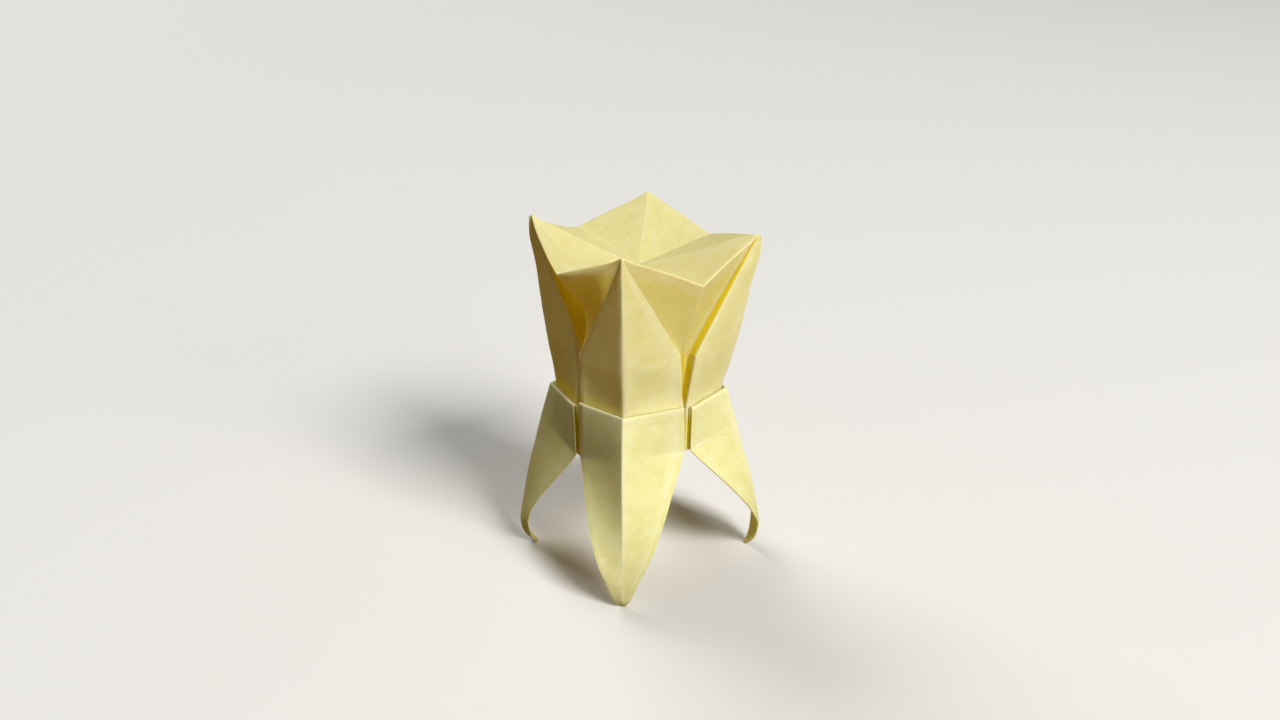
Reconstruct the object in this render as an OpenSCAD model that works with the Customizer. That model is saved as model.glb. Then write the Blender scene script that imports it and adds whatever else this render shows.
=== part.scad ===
// Origami tooth: one square sheet of coloured paper, folded into a crown with
// four cusps round a sunken star, four slits, a pleat round the waist and four
// curled roots that it stands on. Millimetres, +Z up, front petal towards -Y.
// A list of four gives the front, right, back and left petal, which follow each
// other counter-clockwise from above, and for slits the front right, back right,
// back left and front left one. A petal's counter-clockwise side faces the next
// petal of the list, and its clockwise side the one before.

/* [Crown] */
// Distance of the cusps from the tooth's axis
cusp_reach = 27.5; // [25:0.5:30]
// Height of the cusps above the table
cusp_height = 88; // [84:0.5:94]
// Distance of the rim's low points, between two cusps, from the axis
valley_reach = 23.5; // [21:0.5:25]
// Height of the rim's low points
valley_height = 80.5; // [76:0.5:83]
// Height of the middle of the sunken star
centre_height = 77.5; // [72:0.5:79]
// Height of the shoulders, where a petal's slanting edges turn straight down
shoulder_height = 60; // [57:0.5:62]
// Distance of the shoulders from the axis, measured along the petal
shoulder_reach = 14.2; // [13.8:0.1:15]
// Half width of a petal between its shoulders
shoulder_half = 12; // [11:0.1:12.4]
// How far a petal's ridge bows out between cusp and waist
ridge_bow = 0.6; // [0:0.1:1.5]
// Distance of the gussets' inner folds from the axis, at the foot of the slits
fold_reach = 13; // [10:0.5:14]

/* [Waist] */
// Height of the lip where the pleat turns over
lip_height = 46; // [44:0.5:50]
// Distance of the lip from the axis on a petal's ridge
lip_reach = 22.1; // [21:0.1:24]
// Distance of the lip's corners from the axis, measured along the petal
lip_corner_reach = 14.3; // [13.8:0.1:15]
// Half width of a petal between the lip's corners
lip_half = 12.6; // [11.5:0.1:12.8]
// Height of the foot of the slits, where the pleat turns back up
foot_height = 34.5; // [32:0.5:38]
// How far a petal's ridge draws in between the lip and the foot of the slits
ridge_draw = 1; // [0:0.1:3]
// How far its edges draw in there
edge_draw = 0.2; // [0:0.1:0.8]
// Gap between two petals' inner plies, all the way down a slit
slit_gap = 0.9; // [0.8:0.1:2]

/* [Roots] */
// Greatest distance of a root's ridge from the axis
flare_reach = 31; // [28:0.5:34]
// Height at which a root's ridge stands out furthest
flare_height = 6.5; // [5:0.5:9]
// How much higher its edges stand out furthest
edge_lift = 1.5; // [0:0.5:3]
// Distance of the root tips from the axis
tip_reach = 28; // [26:0.5:31]
// Half width of a root at the foot of the slits
root_half = 12.7; // [11:0.1:12.8]
// Half width of a root where it stands out furthest
flare_half = 4.2; // [3:0.1:6]
// Half width of the blunt end of a root
tip_half = 0.6; // [0.5:0.1:2]
// Way the ridge sets off from the lip: outwards and down
ridge_start = [4.2, 15]; // [2:0.1:18]
// Way the ridge comes in to where it stands out furthest: from inwards and above
ridge_end = [1.2, 10.5]; // [0.5:0.1:14]
// Way an edge sets off from the slit: outwards, towards the ridge and down
edge_start = [4.5, 1.8, 6]; // [1:0.1:8]
// Way an edge comes in: from inwards, away from the ridge and above
edge_end = [0.2, 4.8, 9]; // [0:0.1:12]

/* [Paper] */
// Thickness of the folded paper as it is pressed together
paper = 0.3; // [0.2:0.05:0.35]
// Least air left between two plies that lie on each other
ply_air = 0.15; // [0.1:0.01:0.25]
// Width of the strip that is rolled in along a petal's slit edges
roll_width = 1.4; // [0.8:0.1:2]
// How far that strip's crease stands proud of the flat petal
roll_height = 0.3; // [0.1:0.05:0.5]

/* [Hand-folded crown] */
// How much further out each cusp stands
cusp_out = [0, 1.2, 0, -1.8]; // [-2:0.1:2]
// How much higher each cusp stands
cusp_up = [0.4, -1.9, -0.5, 0.1]; // [-2:0.1:2]
// How far each cusp leans counter-clockwise
cusp_aside = [-0.5, -0.5, 0.3, -0.6]; // [-1.5:0.1:1.5]
// How far the fold is rounded out just before and after each cusp
cusp_round = [0.2, 1, 0.2, 0.8]; // [0:0.1:1.2]
// How much more each petal's ridge bows out
bow_more = [-0.3, 0.6, 0, 0]; // [-0.6:0.1:1]
// How much higher each low point of the rim stands
valley_up = [-1.5, 0, 0.6, 0.1]; // [-2:0.1:2]
// How much further out each low point of the rim stands
valley_out = [0.4, -0.6, 0.2, 0.3]; // [-1:0.1:1]
// How far the rim sags beside each cusp, on its petal's clockwise side
sag_clockwise = [0, -0.4, 0, 0.8]; // [-1:0.1:1]
// The same on the counter-clockwise side
sag_counter = [-0.4, -0.4, 0, 1]; // [-1:0.1:1]
// How much further out each petal's clockwise shoulder stands
out_clockwise = [0.1, 1.1, 0, 0]; // [-1.3:0.1:1.3]
// The same for its counter-clockwise shoulder
out_counter = [-0.1, 0, 0, -1.3]; // [-1.3:0.1:1.3]
// How much higher each petal's clockwise shoulder stands
up_clockwise = [-1.2, -0.3, 0, 0]; // [-2:0.1:2]
// The same for its counter-clockwise shoulder
up_counter = [0.2, 0, 0, 0.5]; // [-2:0.1:2]
// How much wider each petal is at its clockwise shoulder
wide_clockwise = [0.6, 0.5, 0, 0]; // [-0.6:0.1:0.6]
// The same at its counter-clockwise shoulder
wide_counter = [-0.3, 0, 0, -0.3]; // [-0.6:0.1:0.6]

/* [Hand-folded gussets] */
// Distance from the axis of the point where each gusset's inner fold steepens
bend_reach = [17.2, 14, 14, 13.5]; // [13:0.1:17.5]
// Height of that point
bend_height = [60.5, 65, 65, 67]; // [60:0.5:68]
// How far that point lies counter-clockwise of the slit's middle
bend_aside = [-1.3, 0, 0, 0]; // [-1.5:0.1:1.5]
// How much further out each inner fold ends at the foot of its slit
foot_out = [2.6, 0, 0, 0]; // [-0.5:0.1:3]
// How far it ends counter-clockwise of the slit's middle
foot_aside = [-0.4, 0, 0, 0]; // [-0.8:0.1:0.8]
// How much higher the foot of each slit stands
foot_up = [0.4, 0, 0, -2.4]; // [-2.5:0.1:2.5]
// Depth of the tuck behind the edge of the petal that follows each slit
tuck_depth = [2.6, 0, 0, 0]; // [0:0.1:3]

/* [Hand-folded waist and roots] */
// How much higher each petal's lip stands
lip_up = [0.7, 0, 0, -0.7]; // [-1:0.1:1]
// How far each petal's ridge runs counter-clockwise of its middle at the lip
lip_aside = [-1.2, 0, 0, 0.4]; // [-1.5:0.1:1.5]
// How far each root's tip leans counter-clockwise
tip_aside = [-0.7, 4.2, -1, 0.5]; // [-4.5:0.1:4.5]
// How much further out each root's tip ends
tip_out = [1.2, -0.6, 0, -1.2]; // [-1.5:0.1:1.5]
// How much further each root's sides hang down below the slits
belly = [0, 0, 0.3, 1.8]; // [0:0.1:2]
// How far each root's clockwise edge turns in where the root stands out furthest
turn_clockwise = [0.3, 0.2, 0.8, 0.5]; // [0.2:0.1:3]
// The same for its counter-clockwise edge
turn_counter = [0.3, 2, 0.3, 2.6]; // [0.2:0.1:3]

/* [Hidden] */

// Columns of one petal run from the inner fold on its clockwise side, over the
// ridge in column 0, to just before the inner fold on its other side
EDGE = 4;
FOLD = 7;
PETAL_COLUMNS = 2 * FOLD;
COLUMNS = 4 * PETAL_COLUMNS;
// Rows run from the middle of the star, over the rim, down the crown to the
// foot of the slits, back up the pleat, over the lip and down the root
RIM = 3;
SHOULDER = 7;
WAIST = 8;
FOOT = 9;
TURN = 4;
PLEAT_FOOT = FOOT + TURN;
PLEAT_TOP = PLEAT_FOOT + 1;
LIP = PLEAT_TOP + TURN;
ROOT_FOOT = LIP + 2;
FLARE = ROOT_FOOT + 6;
TIP = FLARE + 4;

// Share of the way from the middle of the star to the rim at each row
STAR_SHARE = [0, 0.45, 0.87, 1];
// Share of the way from the rim to the shoulders at each row between them
CROWN_SHARE = [0, 0.15, 0.42, 0.72, 1];
// Share of the root's main curve that its ridge has run at the slits' foot
ROOT_SHARE = 0.2;
// Share of the way across a facet at which its columns lie, up to the roll
FACET_SHARE = [0, 0.31, 0.62];
// Largest share of a facet that the roll takes up
ROLL_SHARE = 0.3;
// Share of the way across a gusset at which its first column lies: in an open
// one, and at the rim and the foot of a tucked one
WEB_SHARE = 0.25;
TUCKED_SHARE = [0.05, 0.34];
// Share of a cusp's rounding that it has on the star's side
STAR_ROUND = 0.7;
// Share of the flare's height at which the curl is aimed straight down
CURL_AIM = 0.25;
// Longest mitre of the paper's thickness at a fold, and how far a mitre gives way
// where the patches round a point disagree
MITRE = 2.5;
SOFTENING = 0.005;
TINY = 1e-9;

// A facet's slope and that of its rolled strip, and the distance between the
// middles of two plies, which is larger along a petal's axis
facet_slope = atan2(lip_reach - lip_corner_reach, lip_half);
strip_slope = facet_slope + atan2(roll_height, roll_width);
ply = paper + ply_air;
ply_step = ply / cos(strip_slope);

function mix(a, b, t) = a + (b - a) * t;
function sign_of(j) = j < 0 ? -1 : 1;
// What a petal has on the side of column j, out of its two lists
function by_side(p, j, clockwise, counter) = j < 0 ? clockwise[p] : counter[p];
// Point of a Bezier curve
function curve(p, t) = len(p) == 1 ? p[0] : curve([for (i = [0:len(p) - 2]) mix(p[i], p[i + 1], t)], t);
// A place given outwards, counter-clockwise and up from a petal, put in the tooth
function place(petal, q) =
    let (a = 90 * petal - 90)
    [q[0] * cos(a) - q[1] * sin(a), q[0] * sin(a) + q[1] * cos(a), q[2]];

// Corners of a petal, in its own directions
function cusp(p) = [cusp_reach + cusp_out[p], cusp_aside[p], cusp_height + cusp_up[p]];
function shoulder(p, j) = [
    shoulder_reach + by_side(p, j, out_clockwise, out_counter),
    sign_of(j) * (shoulder_half + by_side(p, j, wide_clockwise, wide_counter)),
    shoulder_height + by_side(p, j, up_clockwise, up_counter)];
function lip_ridge(p) = [lip_reach, lip_aside[p], lip_height + lip_up[p]];
function lip_corner(p, j) = [lip_corner_reach, sign_of(j) * lip_half, lip_height + lip_up[p]];
function slit_of(p, j) = j < 0 ? (p + 3) % 4 : p;
function foot_of(p, j) = foot_height + foot_up[slit_of(p, j)];
function foot_ridge(p) = [lip_reach - ridge_draw, lip_aside[p], foot_height];
// The pleat's inner ply lies two plies further in. It is no wider than the lip and
// stops short of the next petal's by the slit's gap
function inner_ply(q) = [q[0] - 2 * ply_step, q[1], q[2]];
function inner_corner(p, j, draw, z) =
    let (u = lip_corner_reach - draw - 2 * ply_step)
    [u, sign_of(j) * min(lip_half - edge_draw, u - slit_gap / sqrt(2)), z];

// Places along the ridge and along the slit edge of a petal's inner ply
function ridge_down(p, t) =
    mix(cusp(p), inner_ply(lip_ridge(p)), t) + [(ridge_bow + bow_more[p]) * 4 * t * (1 - t), 0, 0];
function shoulder_share(p) = (cusp(p)[2] - shoulder_height) / (cusp(p)[2] - lip_ridge(p)[2]);
function ridge_at(p, i) =
    i <= SHOULDER ? ridge_down(p, CROWN_SHARE[i - RIM] * shoulder_share(p))
        + [i == RIM + 1 ? cusp_round[p] : 0, 0, 0]
    : i == WAIST ? inner_ply(lip_ridge(p))
    : inner_ply(foot_ridge(p));
function edge_at(p, j, i) =
    i <= SHOULDER ? mix(cusp(p), shoulder(p, j), CROWN_SHARE[i - RIM])
    : i == WAIST ? inner_corner(p, j, 0, lip_height + lip_up[p])
    : inner_corner(p, j, edge_draw, foot_of(p, j));

// Inner fold of a slit, in the tooth's directions
function valley(g) = place(g + 0.5, [valley_reach + valley_out[g], 0, valley_height + valley_up[g]]);
function fold_bend(g) = place(g + 0.5, [bend_reach[g], bend_aside[g], bend_height[g]]);
function fold_foot(g) =
    place(g + 0.5, [fold_reach + foot_out[g], foot_aside[g], foot_height + foot_up[g]]);
waist_share = (shoulder_height - lip_height) / (shoulder_height - foot_height);
function fold_at(g, i) =
    i <= SHOULDER ? mix(valley(g), fold_bend(g), CROWN_SHARE[i - RIM])
    : mix(fold_bend(g), fold_foot(g), i == WAIST ? waist_share : 1);

// Share of the way from a petal's edge to the inner fold at the two columns
// between them, which draw together where there is a tuck
function tuck_of(p, j) = j < 0 ? tuck_depth[slit_of(p, j)] : 0;
function web_share(p, j, t) =
    let (k = abs(j) - EDGE)
    k == FOLD - EDGE ? 1
    : k * (tuck_of(p, j) > 0 ? mix(TUCKED_SHARE[0], TUCKED_SHARE[1], t) : WEB_SHARE);

// Roots: the ridge and the edge each run down one curve and then curl in
function flare_edge(p, j) = [
    flare_reach - by_side(p, j, turn_clockwise, turn_counter),
    sign_of(j) * flare_half + tip_aside[p],
    flare_height + edge_lift];
function root_ridge(p) = [
    lip_ridge(p),
    lip_ridge(p) + [ridge_start[0], 0, -ridge_start[1] - lip_up[p]],
    [flare_reach - ridge_end[0], tip_aside[p] / 2, flare_height + ridge_end[1]],
    [flare_reach, tip_aside[p], flare_height]];
function root_edge(p, j) =
    let (s = sign_of(j), b = flare_edge(p, j), out = (lip_half - root_half) * tan(facet_slope),
        a = [lip_corner_reach - edge_draw + out, s * root_half, foot_of(p, j)])
    [a,
     a + [edge_start[0], -s * edge_start[1], -edge_start[2] - belly[p]],
     b + [-edge_end[0] - belly[p], s * edge_end[1] - tip_aside[p] / 2, edge_end[2]],
     b];
function curl_ridge(p) = [
    [flare_reach, tip_aside[p], flare_height],
    [flare_reach, tip_aside[p], flare_height * CURL_AIM],
    [tip_reach + tip_out[p], tip_aside[p], 0]];
function curl_edge(p, j) =
    let (b = flare_edge(p, j))
    [b,
     [b[0], sign_of(j) * flare_half / 2 + tip_aside[p], flare_height * CURL_AIM],
     [tip_reach + tip_out[p], sign_of(j) * tip_half + tip_aside[p], 0]];
function root_ridge_at(p, i) =
    i <= ROOT_FOOT ? curve(root_ridge(p), ROOT_SHARE * (i - LIP) / (ROOT_FOOT - LIP))
    : i <= FLARE ? curve(root_ridge(p), mix(ROOT_SHARE, 1, (i - ROOT_FOOT) / (FLARE - ROOT_FOOT)))
    : curve(curl_ridge(p), (i - FLARE) / (TIP - FLARE));
function root_edge_at(p, j, i) =
    i <= ROOT_FOOT ? mix(lip_corner(p, j), root_edge(p, j)[0], (i - LIP) / (ROOT_FOOT - LIP))
    : i <= FLARE ? curve(root_edge(p, j), (i - ROOT_FOOT) / (FLARE - ROOT_FOOT))
    : curve(curl_edge(p, j), (i - FLARE) / (TIP - FLARE));

// One place on a facet, between its ridge and its edge, with the rolled strip,
// whose crease dies away with the cube of its width where the facet narrows
function across(ridge, edge, j) =
    let (k = abs(j), width = norm(edge - ridge), strip = min(roll_width, ROLL_SHARE * width),
        out = sign_of(j) * cross(edge - ridge, [0, 0, 1]), lift = roll_height * (strip / roll_width) ^ 3)
    k == EDGE ? edge
    : k == EDGE - 1 ? mix(ridge, edge, 1 - strip / width) + lift * out / norm(out)
    : mix(ridge, edge, FACET_SHARE[k]);

// Half a turn from one ply to the next further out: way is 1 under a slit's
// foot and -1 over the lip
function turned(q, k, way) =
    let (a = 180 * k / TURN)
    q + [ply_step * (1 - cos(a)) / 2, 0, -way * ply / 2 * sin(a)];

// The sheet's middle surface: row i, column j of petal p
function sheet(p, i, j) =
    i == 0 ? [0, 0, centre_height]
    : i < RIM || (i == RIM && on_facet(j)) ? star(p, i, j)
    : i <= FOOT && !on_facet(j) ? web(p, i, j)
    : place(p, petal_point(p, i, j));
function star(p, i, j) =
    let (s = STAR_SHARE[i], middle = [0, 0, centre_height],
        ridge = mix(middle, place(p, cusp(p)), s) + [0, 0, i == RIM - 1 ? cusp_round[p] * STAR_ROUND : 0])
    on_facet(j) ? ridge : mix(ridge, mix(middle, valley(slit_of(p, j)), s), web_share(p, j, 0));
function web(p, i, j) =
    let (edge = place(p, edge_at(p, j, i)), fold = fold_at(slit_of(p, j), i),
        t = i <= SHOULDER ? CROWN_SHARE[i - RIM] : 1, f = web_share(p, j, t),
        sag = i == RIM ? by_side(p, j, sag_clockwise, sag_counter) * 4 * f * (1 - f) : 0,
        tuck = abs(j) == EDGE + 1 ? tuck_of(p, j) * t : 0)
    mix(edge, fold, f) - place(slit_of(p, j) + 0.5, [tuck, 0, sag]);
function petal_point(p, i, j) =
    i <= FOOT ? across(ridge_at(p, i), edge_at(p, j, i), j)
    : i <= PLEAT_FOOT ? turned(petal_point(p, FOOT, j), i - FOOT, 1)
    : i == PLEAT_TOP ? petal_point(p, WAIST, j) + [ply_step, 0, 0]
    : i < LIP ? turned(petal_point(p, PLEAT_TOP, j), i - PLEAT_TOP, -1)
    : across(root_ridge_at(p, i), root_edge_at(p, j, i), j);

// Numbering of the sheet's points: a star row has one point for all the columns
// of a facet, a crown row has every column, and a flap row only the facets'
STAR_SLOTS = 2 * (FOLD - EDGE);
FLAP_COLUMNS = 2 * EDGE + 1;
CROWN_START = 1 + RIM * 4 * STAR_SLOTS;
FLAP_START = CROWN_START + (FOOT - RIM) * COLUMNS;
SLOT_COLUMNS = concat([for (j = [-FOLD:-EDGE - 1]) j], [0], [for (j = [EDGE + 1:FOLD - 1]) j]);
function petal_of(c) = floor(c / PETAL_COLUMNS);
function column_of(c) = c % PETAL_COLUMNS - FOLD;
function ring(p, j) = p * PETAL_COLUMNS + FOLD + j;
function wrap(c) = (c + COLUMNS) % COLUMNS;
function on_facet(j) = abs(j) <= EDGE;
function slot(j) = on_facet(j) ? FOLD - EDGE : j < 0 ? j + FOLD : j - 2 * EDGE + FOLD - 1;
function flap(i, p, j) = FLAP_START + ((i - FOOT - 1) * 4 + p) * FLAP_COLUMNS + j + EDGE;
function number(i, c) =
    i == 0 ? 0
    : i > FOOT ? flap(i, petal_of(c), column_of(c))
    : i <= RIM ? 1 + ((i - 1) * 4 + petal_of(c)) * STAR_SLOTS + slot(column_of(c))
    : CROWN_START + (i - RIM - 1) * COLUMNS + c;

middle = concat(
    [sheet(0, 0, 0)],
    [for (i = [1:RIM], p = [0:3], j = SLOT_COLUMNS) sheet(p, i, j)],
    [for (i = [RIM + 1:FOOT], c = [0:COLUMNS - 1]) sheet(petal_of(c), i, column_of(c))],
    [for (i = [FOOT + 1:TIP], p = [0:3], j = [-EDGE:EDGE]) sheet(p, i, j)]);

// Whether the sheet has a patch between rows i, i + 1 and columns c, c + 1
function has_patch(i, c) =
    i >= 0 && i < TIP && (i < FOOT || (column_of(c) >= -EDGE && column_of(c) < EDGE));
// The next column in a row that has a point of its own
function beside(i, c, way) =
    wrap(i <= RIM && on_facet(column_of(c)) ? ring(petal_of(c), way * (EDGE + 1)) : c + way);

// Directions across the patches round one point, of which a cusp has six
function patch_normal(o, a, b) = unit(cross(middle[a] - middle[o], middle[b] - middle[o]));
function unit(v) = norm(v) < TINY ? [0, 0, 0] : v / norm(v);
function normals_at(i, c) =
    let (o = number(i, c), e = number(i, beside(i, c, 1)), w = number(i, beside(i, c, -1)))
    i == RIM && on_facet(column_of(c)) ? cusp_normals(o, number(i - 1, c), e, w, c)
    : [if (has_patch(i, c)) patch_normal(o, number(i + 1, c), e),
       if (has_patch(i, wrap(c - 1))) patch_normal(o, w, number(i + 1, c)),
       if (has_patch(i - 1, c)) patch_normal(o, e, number(i - 1, c)),
       if (has_patch(i - 1, wrap(c - 1))) patch_normal(o, number(i - 1, c), w)];
function cusp_normals(o, up, e, w, c) =
    let (down = number(RIM + 1, c), right = number(RIM + 1, c + EDGE), left = number(RIM + 1, c - EDGE))
    [patch_normal(o, e, up), patch_normal(o, up, w), patch_normal(o, down, right), patch_normal(o, right, e),
     patch_normal(o, left, down), patch_normal(o, w, left)];

// Half the paper's thickness, across the sheet and mitred at the folds: the step
// that comes nearest to lying half a thickness outside each patch round a point
function total(list, k = 0) = k == len(list) ? [0, 0, 0] : list[k] + total(list, k + 1);
function half_thickness(i, c) =
    let (n = normals_at(i, c), s = total(n), soft = SOFTENING * len(n),
        m = [for (a = [0:2]) total([for (v = n) v[a] * v]) + [for (b = [0:2]) a == b ? soft : 0]],
        x = cross(m[1], m[2]), y = cross(m[2], m[0]), z = cross(m[0], m[1]),
        step = (x * s[0] + y * s[1] + z * s[2]) / (m[0] * x))
    step * paper / 2 * min(1, MITRE / norm(step));

across_sheet = concat(
    [[0, 0, paper / 2]],
    [for (i = [1:RIM], p = [0:3], j = SLOT_COLUMNS) half_thickness(i, ring(p, j))],
    [for (i = [RIM + 1:FOOT], c = [0:COLUMNS - 1]) half_thickness(i, c)],
    [for (i = [FOOT + 1:TIP], p = [0:3], j = [-EDGE:EDGE]) half_thickness(i, ring(p, j))]);

function triangles(a, b, c, d) = [
    if (a != b && b != c && c != a) [a, b, c],
    if (a != c && c != d && d != a) [a, c, d]];
// Each patch is split along the diagonal that mirrors in the petal's ridge
patches = [
    for (i = [0:TIP - 1], c = [0:COLUMNS - 1]) if (has_patch(i, c))
        let (a = number(i, c), b = number(i, wrap(c + 1)), d = number(i + 1, c), e = number(i + 1, wrap(c + 1)))
        each column_of(c) < 0 ? triangles(a, b, e, d) : triangles(b, e, d, a)];
// Free edges of the paper, in the order that keeps the sheet on one side
free_edges = concat(
    [for (c = [0:COLUMNS - 1]) if (!has_patch(FOOT, c)) [number(FOOT, c), number(FOOT, wrap(c + 1))]],
    [for (i = [FOOT:TIP - 1], p = [0:3]) each
        let (l = ring(p, -EDGE), r = ring(p, EDGE))
        [[number(i, l), number(i + 1, l)], [number(i + 1, r), number(i, r)]]],
    [for (p = [0:3], j = [-EDGE:EDGE - 1]) [flap(TIP, p, j), flap(TIP, p, j + 1)]]);

COUNT = len(middle);
skin = concat(
    [for (k = [0:COUNT - 1]) middle[k] + across_sheet[k]],
    [for (k = [0:COUNT - 1]) middle[k] - across_sheet[k]]);
// The paper's rim along one free edge, split along its shorter diagonal
function rim(a, b) =
    let (c = b + COUNT, d = a + COUNT)
    norm(skin[a] - skin[c]) < norm(skin[b] - skin[d]) ? [[a, b, c], [a, c, d]] : [[a, b, d], [b, c, d]];
faces = concat(
    patches,
    [for (f = patches) [f[2] + COUNT, f[1] + COUNT, f[0] + COUNT]],
    [for (e = free_edges) each rim(e[0], e[1])]);

// The box round the sheet, which is stood on the table over the origin
low = [for (k = [0:2]) min([for (q = skin) q[k]])];
high = [for (k = [0:2]) max([for (q = skin) q[k]])];

module folded_sheet() {
    color("#EFE7A6")
        translate([-(low[0] + high[0]) / 2, -(low[1] + high[1]) / 2, -low[2]])
            polyhedron(points = skin, faces = faces, convexity = 10);
}

folded_sheet();
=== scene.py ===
"""Origami tooth: one square of coloured paper, folded into a crown with four cusps round a sunken
star, a pleat round the waist and four curled roots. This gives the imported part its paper."""
import math
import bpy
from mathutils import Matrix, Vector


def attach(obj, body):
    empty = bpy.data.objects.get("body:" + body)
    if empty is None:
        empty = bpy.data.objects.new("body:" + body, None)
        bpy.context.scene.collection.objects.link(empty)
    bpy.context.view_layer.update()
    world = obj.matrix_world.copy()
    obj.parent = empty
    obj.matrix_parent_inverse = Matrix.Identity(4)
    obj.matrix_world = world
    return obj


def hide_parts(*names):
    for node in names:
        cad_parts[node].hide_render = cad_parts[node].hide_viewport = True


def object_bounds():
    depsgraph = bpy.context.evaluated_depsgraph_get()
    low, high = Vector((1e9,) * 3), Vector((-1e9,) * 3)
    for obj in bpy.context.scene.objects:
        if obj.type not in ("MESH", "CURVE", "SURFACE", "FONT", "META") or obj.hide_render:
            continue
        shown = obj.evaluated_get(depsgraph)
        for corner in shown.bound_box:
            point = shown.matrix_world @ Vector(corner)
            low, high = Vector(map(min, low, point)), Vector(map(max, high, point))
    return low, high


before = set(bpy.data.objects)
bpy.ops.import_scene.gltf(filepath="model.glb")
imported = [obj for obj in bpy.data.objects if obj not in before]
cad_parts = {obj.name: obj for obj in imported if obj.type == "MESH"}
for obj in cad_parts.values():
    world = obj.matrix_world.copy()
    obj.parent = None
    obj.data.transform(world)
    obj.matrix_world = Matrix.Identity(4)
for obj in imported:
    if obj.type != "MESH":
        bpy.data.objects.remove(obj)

from types import SimpleNamespace

import bmesh
import bpy
import numpy as np
from bpy.props import FloatProperty, FloatVectorProperty, PointerProperty, StringProperty
from mathutils import Matrix, Vector, noise

bl_info = {
    "name": "Origami Tooth",
    "version": (1, 0, 0),
    "blender": (4, 5, 0),
    "location": "3D View > Sidebar > Tooth",
    "description": "Folds a paper tooth over its packed part and sets it on a plain stage",
    "category": "Object",
}

CAD_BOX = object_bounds()
BODY = "root"
NODE = "folded_sheet"
MM = 0.001

# Columns of the grid on each side of a petal's ridge: the flat of the facet, the strip rolled in
# along its edge, and the gusset behind it. They are counted from a petal's clockwise inner fold
FLAT = 18
ROLL = 5
FACET = FLAT + ROLL
WEB = 32
RIDGE = WEB + FACET
PETAL = 2 * RIDGE
FACETS = slice(WEB, WEB + 2 * FACET + 1)
RING = 4 * PETAL
# Columns of a tucked gusset up to its tuck's bottom, and as many again out of it
TUCK = 6
# Stretches of the sheet from the middle of the star to the tips of the roots, and their rows; the
# flaps have no gussets
STRETCHES = {"star": 48, "crown": 50, "waist": 24, "foot": 20, "turn": 10, "pleat": 18, "lip": 12,
             "root": 18, "flare": 54, "curl": 16}
FLAPS = tuple(STRETCHES)[4:]
# Stretches that end in a sharp fold, so their rows are drawn towards both ends
CREASED = ("star", "crown", "waist", "foot", "pleat")
# How far rows and columns are drawn towards the folds, from 0, where they lie evenly, to 1
DRAWN = 0.7

# Shares that the part's source also uses
ROOT_SHARE = 0.2
ROLL_SHARE = 0.3
TUCKED_SHARE = (0.05, 0.34)
STAR_ROUND = 0.7
CURL_AIM = 0.25
# Where a cusp's rounding starts on the star, and where its and a facet's end on the crown
STAR_ROUND_FROM = 0.45
CROWN_ROUND_TO = 0.42
FACET_ROUND_TO = 0.6
# Where a root's second crease lies below the lip, and half its width, as shares of the upper root
SECOND_CREASE = (0.27, 0.1)
# How much of the star and of the crown next to the rim its sag takes in
SAG_FADE = (0.13, 0.15)

# Share of the crown in which tucks and steps open below the rim, how deep a tuck then is as a share
# of its full depth, and where its bottom lies within its width
OPENING = 0.08
RIM_TUCK = 0.25
TUCK_STEEP = 0.15
# How wide a gusset is at the shoulders, in millimetres
GUSSET_FOOT = 8
# How far down the crown a brow reaches, by its petal's edge and by the inner fold
BROW_DOWN = (0.5, 0.22)

# Rounds in which points are drawn towards their neighbours, and how far each time: at every fold,
# for the wear, and at the blunter cusps and ridges
FOLD_ROUND = (1, 0.4)
WEAR_ROUND = (2, 0.5)
BLUNT_ROUND = (18, 0.5)
# How far a cusp's blunt end reaches, in millimetres, and the columns beside a ridge that are blunt,
# before as many in which that fades
CUSP_SOFT = 1.8
RIDGE_SOFT = 4
# The finer part of the facets' waves: how high and how many times finer
FINER = (0.35, 2.7)
# Least distance between two points, in millimetres, by which a fold's sharpness is told
LEAST_GAP = 0.05

# How far the facets and the star count as single paper, which lets light through, and the columns
# in which a gusset goes over from its facet
SINGLE = {"facet": 0.42, "star": 0.5}
SINGLE_FROM = 3
# How many times the outer face's light an inner face lets through, and the most that it does
INNER_GLOW = 3
MOST_GLOW = 0.9
# Painted glow, a saturated yellow that stands in for light bounced about in the folds and passed
# through the paper: where it starts below the rim, as a share of the crown, the columns of a gusset
# in which it sets in, and how shaded a gusset has to be for the waist behind the lip to have it too
PAINTED_GLOW_FROM = 0.08
PAINTED_GLOW_COLUMNS = 2
SHADED = 0.5
# Where that starts and how long it takes, as shares of the waist, and how far down it fades below
BY_LIP = (0.72, 0.15)
BELOW_LIP = 0.3
TINY = 1e-12
UP = np.array([0.0, 0.0, 1.0])
OUT = np.array([1.0, 0.0, 0.0])


# ---- Settings

def length(name, description, millimetres):
    return FloatProperty(name=name, description=description, default=millimetres * MM,
                         subtype="DISTANCE", unit="LENGTH")


def lengths(name, description, *millimetres):
    return FloatVectorProperty(name=name, description=description, size=len(millimetres),
                               default=[m * MM for m in millimetres], unit="LENGTH")


def factor(name, description, value):
    return FloatProperty(name=name, description=description, default=value, min=0, max=1,
                         subtype="FACTOR")


def angles(name, description, *degrees, subtype="NONE"):
    return FloatVectorProperty(name=name, description=description, size=len(degrees),
                               default=[math.radians(a) for a in degrees], subtype=subtype,
                               unit="ROTATION")


def paint(name, description, sheet_hex):
    return StringProperty(name=name, description=description + ", as sRGB hex", default=sheet_hex)


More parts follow.
